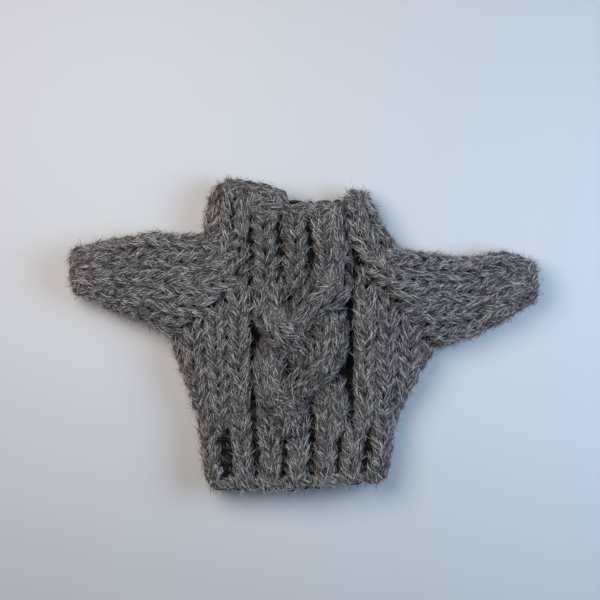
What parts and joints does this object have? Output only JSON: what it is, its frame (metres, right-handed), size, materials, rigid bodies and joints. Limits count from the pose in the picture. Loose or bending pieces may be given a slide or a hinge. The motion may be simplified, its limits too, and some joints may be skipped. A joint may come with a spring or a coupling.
{
  "type": "knitted pullover for a doll",
  "caption": "Small hand-knitted raglan pullover in fuzzy grey wool, with a plaited cable down the front, ribbed hem and neck, lying flat on its back.",
  "frame": {"origin": "centre of the bounding box in X and Y, on the surface that the garment's back lies on", "axes": "+X from the wearer's right sleeve to the wearer's left sleeve, +Y from hem to neck, +Z out of the front"},
  "size_m": [0.1348, 0.0886, 0.0162],
  "materials": {
    "stockinette_wool": "heather-grey softly spun wool, stockinette, fuzzy",
    "cable_wool": "heather-grey wool, raised plaited cable",
    "rib_wool": "heather-grey wool, knit and purl ribs",
    "purl_wool": "heather-grey wool, purl side, shaded",
    "back_wool": "heather-grey wool, plain stockinette back",
    "seam_wool": "heather-grey wool, overcast seam",
    "edge_wool": "heather-grey wool, cast-on and bound-off edges"
  },
  "bodies": {
    "garment": {"front_left_field": "stockinette_wool", "front_right_field": "stockinette_wool", "front_cable_ground": "purl_wool", "plait_strand_a": "cable_wool", "plait_strand_b": "cable_wool", "plait_strand_c": "cable_wool", "front_hem_rib": "rib_wool", "front_hem_edge": "edge_wool", "back_panel": "back_wool", "back_hem_rib": "rib_wool", "back_hem_edge": "edge_wool", "left_side_seam": "seam_wool", "right_side_seam": "seam_wool", "left_front_raglan": "seam_wool", "right_front_raglan": "seam_wool", "left_back_raglan": "seam_wool", "right_back_raglan": "seam_wool", "left_shoulder_front": "stockinette_wool", "left_shoulder_back": "back_wool", "left_shoulder_edge": "stockinette_wool", "left_underarm_seam": "seam_wool", "right_shoulder_front": "stockinette_wool", "right_shoulder_back": "back_wool", "right_shoulder_edge": "stockinette_wool", "right_underarm_seam": "seam_wool"},
    "left_sleeve": {"left_sleeve_front": "stockinette_wool", "left_sleeve_back": "back_wool", "left_sleeve_edge": "stockinette_wool", "left_sleeve_seam": "seam_wool", "left_cuff": "edge_wool"},
    "right_sleeve": {"right_sleeve_front": "stockinette_wool", "right_sleeve_back": "back_wool", "right_sleeve_edge": "stockinette_wool", "right_sleeve_seam": "seam_wool", "right_cuff": "edge_wool"},
    "neck": {"front_neck_rib": "rib_wool", "front_neck_corner": "stockinette_wool", "back_neck_rib": "rib_wool", "left_sleeve_top": "stockinette_wool", "right_sleeve_top": "stockinette_wool", "front_neck_edge": "edge_wool", "back_neck_edge": "edge_wool"}
  },
  "joints": [
    {"name": "left_sleeve_fold", "type": "hinge", "parent": "garment", "child": "left_sleeve", "pos_m": [-0.0455, 0.0162, 0.0133], "axis": [0, 1, 0], "range_deg": [0, 120]},
    {"name": "right_sleeve_fold", "type": "hinge", "parent": "garment", "child": "right_sleeve", "pos_m": [0.0455, 0.0102, 0.0133], "axis": [0, -1, 0], "range_deg": [0, 120]},
    {"name": "neck_fold", "type": "hinge", "parent": "garment", "child": "neck", "pos_m": [-0.003, 0.027, 0.0133], "axis": [1, 0, 0], "range_deg": [0, 120]}
  ]
}
